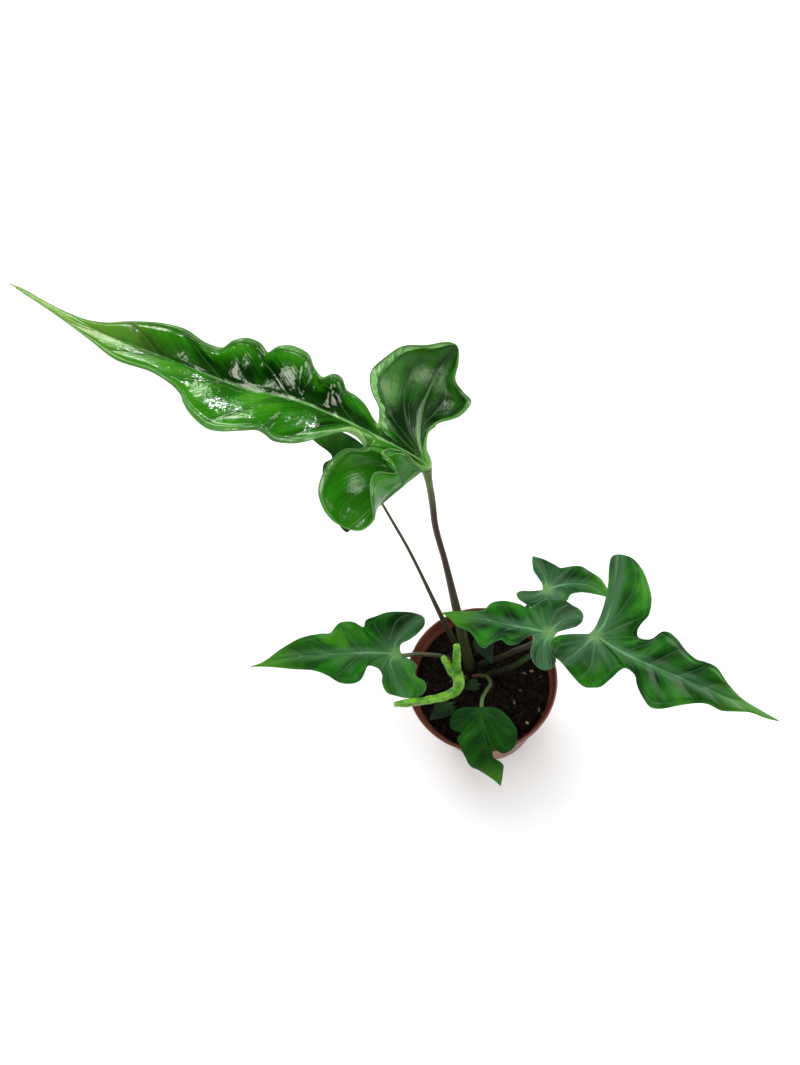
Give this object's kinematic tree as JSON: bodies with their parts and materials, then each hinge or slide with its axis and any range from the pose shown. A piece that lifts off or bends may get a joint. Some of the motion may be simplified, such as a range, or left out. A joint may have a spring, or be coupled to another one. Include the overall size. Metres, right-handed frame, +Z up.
{
  "type": "potted alocasia",
  "caption": "Young alocasia plant with arrow-shaped leaves on slender stalks, growing from dark soil in a round tapered nursery pot.",
  "frame": {"origin": "middle of the pot's flat underside, where it stands", "axes": "+Z up; +X towards the right leaf, along the plant's widest spread; +Y towards the back, away from the front leaf"},
  "size_m": [0.3566, 0.2137, 0.2537],
  "materials": {
    "pot_plastic": "satin moulded thin plastic, red-brown",
    "potting_soil": "damp crumbly potting mix with bark chips",
    "rootstock_skin": "fibrous brown rootstock, hidden in the soil",
    "glossy_leaf": "glossy deep green leaf with pale midrib and veins, grey-green underneath",
    "leaf": "mid green leaf with a soft sheen and paler veins",
    "dark_leaf": "dark green leaf with a dull sheen",
    "stalk": "smooth olive stalk, browner and darker at its foot",
    "fresh_leaf": "soft bright yellow-green rolled leaf"
  },
  "bodies": {
    "root": {"pot": "pot_plastic", "soil": "potting_soil", "rootstock": "rootstock_skin", "big_blade": "glossy_leaf", "left_blade": "leaf", "middle_blade": "leaf", "right_blade": "leaf", "back_blade": "leaf", "front_blade": "dark_leaf", "under_blade": "dark_leaf", "big_stalk": "stalk", "left_stalk": "stalk", "middle_stalk": "stalk", "right_stalk": "stalk", "back_stalk": "stalk", "front_stalk": "stalk", "under_stalk": "stalk", "new_stalk": "stalk", "low_leaf": "dark_leaf", "edge_leaf": "dark_leaf", "inner_leaf": "leaf", "new_leaf": "fresh_leaf"}
  },
  "joints": []
}
